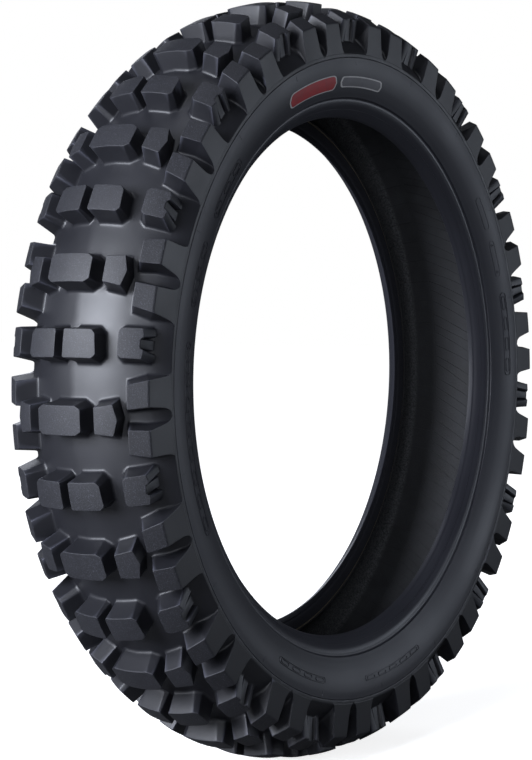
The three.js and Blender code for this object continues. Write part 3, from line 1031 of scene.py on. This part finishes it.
def smooth_rubber(name, level, roughness, grain_strength):
    """Cloudy rubber with faint turning marks round the axle."""
    look = Look(name)
    radius, _, angle = look.round_axle()
    across, around = look.math("MULTIPLY", radius, 900.0), look.math("MULTIPLY", angle, 3.0)
    streak = look.noise(1.0, 3, place=look.node("ShaderNodeCombineXYZ", X=across, Y=around).outputs[0])
    cloud = look.noise(9, 5)
    grain = look.noise(1900, 3)
    share = look.math("ADD", look.math("MULTIPLY", streak, 0.35), look.math("MULTIPLY", cloud, 0.65))
    colour = look.mix(look.remap(share, 0.3, 0.7), grey(level * 0.88), grey(level * 1.14))
    rough = look.remap(cloud, 0.3, 0.7, roughness - 0.05, roughness + 0.07)
    normal = look.bump(grain, grain_strength, 0.0002, look.bump(streak, 0.05, 0.0003))
    return look.finish(Base_Color=colour, Roughness=rough, Normal=normal)


def liner_rubber():
    """Dusty, and coarser and greyer beside the beads, where it bears the print of a cloth."""
    look = Look("liner_rubber")
    _, lateral, _ = look.round_axle()
    beside_bead = look.remap(look.math("ABSOLUTE", lateral), 0.050, 0.053)
    dust = look.noise(30, 6, 0.7)
    grain = look.noise(620, 4, 0.75)
    colour = look.mix(look.remap(dust, 0.35, 0.7), grey(0.018, 1.12), grey(0.04, 1.12))
    print_share = look.math("MULTIPLY", beside_bead, look.remap(grain, 0.4, 0.62))
    colour = look.mix(print_share, colour, grey(0.11, 1.05))
    normal = look.bump(grain, 0.8, 0.0007)
    return look.finish(Base_Color=colour, Roughness=look.remap(dust, 0.3, 0.7, 0.62, 0.8), Normal=normal)


def nylon_cord():
    """Cords laid at a slant across the ply."""
    look = Look("nylon_cord")
    _, lateral, angle = look.round_axle()
    slant = look.math("ADD", look.math("MULTIPLY", lateral, 2200.0), look.math("MULTIPLY", angle, 700.0))
    cord = look.math("SINE", slant)
    fibre = look.noise(2400, 3)
    tan = look.mix(look.remap(cord, -1.0, 1.0), (0.16, 0.13, 0.09, 1), (0.42, 0.36, 0.26, 1))
    colour = look.mix(look.math("MULTIPLY", fibre, 0.4), tan, (0.2, 0.17, 0.12, 1))
    normal = look.bump(cord, 0.6, 0.0004)
    return look.finish(Base_Color=colour, Roughness=0.8, Normal=normal)


def bead_fabric():
    """A square weave, coated in rubber."""
    look = Look("bead_fabric")
    radius, lateral, angle = look.round_axle()
    warp = look.math("SINE", look.math("MULTIPLY", angle, 1500.0))
    weft = look.math("SINE", look.math("MULTIPLY", look.math("ADD", radius, lateral), 6000.0))
    weave = look.math("MULTIPLY", warp, weft)
    colour = look.mix(look.remap(weave, -1.0, 1.0), grey(0.02), grey(0.045))
    normal = look.bump(weave, 0.5, 0.0003)
    return look.finish(Base_Color=colour, Roughness=0.75, Normal=normal)


def bead_steel():
    """Bronze-plated wire."""
    look = Look("bead_steel")
    wear = look.noise(60, 4)
    colour = look.mix(wear, (0.45, 0.28, 0.13, 1), (0.7, 0.5, 0.28, 1))
    return look.finish(Base_Color=colour, Metallic=1.0, Roughness=look.remap(wear, 0.3, 0.7, 0.22, 0.4))


def paint(name, colour):
    """Slightly worn paint over the rubber's grain."""
    look = Look(name)
    wear = look.noise(160, 5)
    grain = look.noise(1500, 3)
    dull = tuple(0.8 * c for c in colour) + (1,)
    shade = look.mix(look.remap(wear, 0.35, 0.65), dull, tuple(colour) + (1,))
    rough = look.remap(wear, 0.3, 0.7, 0.4, 0.55)
    return look.finish(Base_Color=shade, Roughness=rough, Normal=look.bump(grain, 0.1, 0.0002))


# ---- floor, lights and camera


FLOOR_SIZE = 14.0  # half the floor's side, in metres
FLOOR_GLOW_ENDS = (0.45, 1.3)  # distances from the tire over which the glow rises to white


def make_floor(lowest):
    corners = [(x * FLOOR_SIZE, y * FLOOR_SIZE, lowest) for x, y in ((-1, -1), (1, -1), (1, 1), (-1, 1))]
    mesh = bpy.data.meshes.new("studio_floor")
    mesh.from_pydata(corners, [], [(0, 1, 2, 3)])
    floor = add_object("studio_floor", mesh)
    look = Look("studio_floor_paint")
    seen = look.node("ShaderNodeLightPath").outputs["Is Camera Ray"]
    pale = look.mix(look.noise(3, 3), (0.86, 0.86, 0.86, 1), (0.9, 0.9, 0.9, 1))
    shade = look.mix(seen, (0.12, 0.12, 0.12, 1), pale)  # it throws little light back up at the tire
    xyz = look.node("ShaderNodeSeparateXYZ", Vector=look.place).outputs
    rise = look.remap(look.hypot(xyz[0], xyz[1]), *FLOOR_GLOW_ENDS, FLOOR_GLOW, 1.0)
    glow = look.math("MULTIPLY", seen, rise)
    white = (1, 1, 1, 1)
    finish = look.finish(Base_Color=shade, Roughness=1.0, Emission_Color=white, Emission_Strength=glow)
    mesh.materials.append(finish)
    floor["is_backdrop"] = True


def make_world():
    """White to the camera, softer as a light."""
    world = bpy.data.worlds.new("studio")
    bpy.context.scene.world = world
    world.use_nodes = True
    tree = world.node_tree
    tree.nodes.clear()
    path = tree.nodes.new("ShaderNodeLightPath")
    mix = tree.nodes.new("ShaderNodeMixShader")
    out = tree.nodes.new("ShaderNodeOutputWorld")
    tree.links.new(path.outputs["Is Camera Ray"], mix.inputs[0])
    for socket, colour, strength in ((1, WORLD_COLOUR, WORLD_STRENGTH), (2, (1, 1, 1, 1), 1.0)):
        sky = tree.nodes.new("ShaderNodeBackground")
        sky.inputs["Color"].default_value = colour
        sky.inputs["Strength"].default_value = strength
        tree.links.new(sky.outputs[0], mix.inputs[socket])
    tree.links.new(mix.outputs[0], out.inputs[0])


def softbox(name, place, size, power, colour):
    """A rectangular area light that faces the tire's centre."""
    light = bpy.data.lights.new(name, "AREA")
    light.shape = "RECTANGLE"
    light.size, light.size_y = size
    light.energy = power
    light.color = colour
    lamp = add_object(name, light, place)
    lamp.rotation_euler = (-Vector(place)).to_track_quat("-Z", "Y").to_euler()


def view_axes(azimuth, elevation):
    """A camera's right, up and back directions. Azimuth 0 looks along +Y."""
    az, el = math.radians(azimuth), math.radians(elevation)
    back = Vector((math.sin(az) * math.cos(el), -math.cos(az) * math.cos(el), math.sin(el)))
    right = Vector((math.cos(az), math.sin(az), 0))
    return right, back.cross(right), back


def shift_lens(camera, eye, home, axis, amount):
    """Shifts the lens while the camera stands at its home. From anywhere else it looks straight ahead."""
    curve = camera.driver_add(axis)
    for modifier in list(curve.modifiers):
        curve.modifiers.remove(modifier)
    curve.driver.type = "SUM"
    away = curve.driver.variables.new()
    away.type = "LOC_DIFF"
    away.targets[0].id = eye
    away.targets[1].id = home
    for distance, value in ((0.0, amount), (0.02, amount), (0.04, 0.0)):
        curve.keyframe_points.insert(distance, value).interpolation = "LINEAR"


def make_camera():
    camera = bpy.data.cameras.new("camera")
    camera.lens = CAMERA_LENS
    camera.sensor_width = CAMERA_SENSOR
    right, up, back = view_axes(CAMERA_AZIMUTH, CAMERA_ELEVATION)
    place = right * CAMERA_AIM[0] + up * CAMERA_AIM[1] + back * CAMERA_DISTANCE
    eye = add_object("camera", camera, place)
    eye.rotation_euler = Matrix((right, up, back)).transposed().to_euler()
    home = add_object("camera_home", None, place)
    shift_lens(camera, eye, home, "shift_x", LENS_SHIFT[0])
    shift_lens(camera, eye, home, "shift_y", LENS_SHIFT[1])
    bpy.context.scene.camera = eye


# ---- the whole scene


def main():
    looks = {
        "tread_rubber": tread_rubber(),
        "sidewall_rubber": smooth_rubber("sidewall_rubber", 0.026, 0.46, 0.08),
        "bead_rubber": smooth_rubber("bead_rubber", 0.030, 0.38, 0.04),
        "liner_rubber": liner_rubber(),
        "nylon_cord": nylon_cord(),
        "bead_fabric": bead_fabric(),
        "bead_steel": bead_steel(),
    }
    paints = {
        "red": paint("label_red", (0.45, 0.03, 0.035)),
        "white": paint("label_white", (0.62, 0.61, 0.6)),
        "dark": paint("label_grey", (0.14, 0.14, 0.15)),
    }
    make_tread(looks["tread_rubber"])
    make_under_tread(looks["liner_rubber"])
    make_plies(looks["nylon_cord"])
    make_liner(looks["liner_rubber"])
    for side, hand in ((FAR, "left"), (NEAR, "right")):
        bands = [band[:5] + (paints[band[5]],) for band in BANDS]
        make_sidewall(side, hand, looks["sidewall_rubber"], bands)
        make_rim_cushion(side, hand, looks["bead_rubber"])
        make_bead_parts(side, hand, looks)

    make_floor(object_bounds()[0][2])
    make_world()
    for light in LIGHTS:
        softbox(*light)
    bpy.context.scene.view_settings.view_transform = "Standard"
    make_camera()


main()
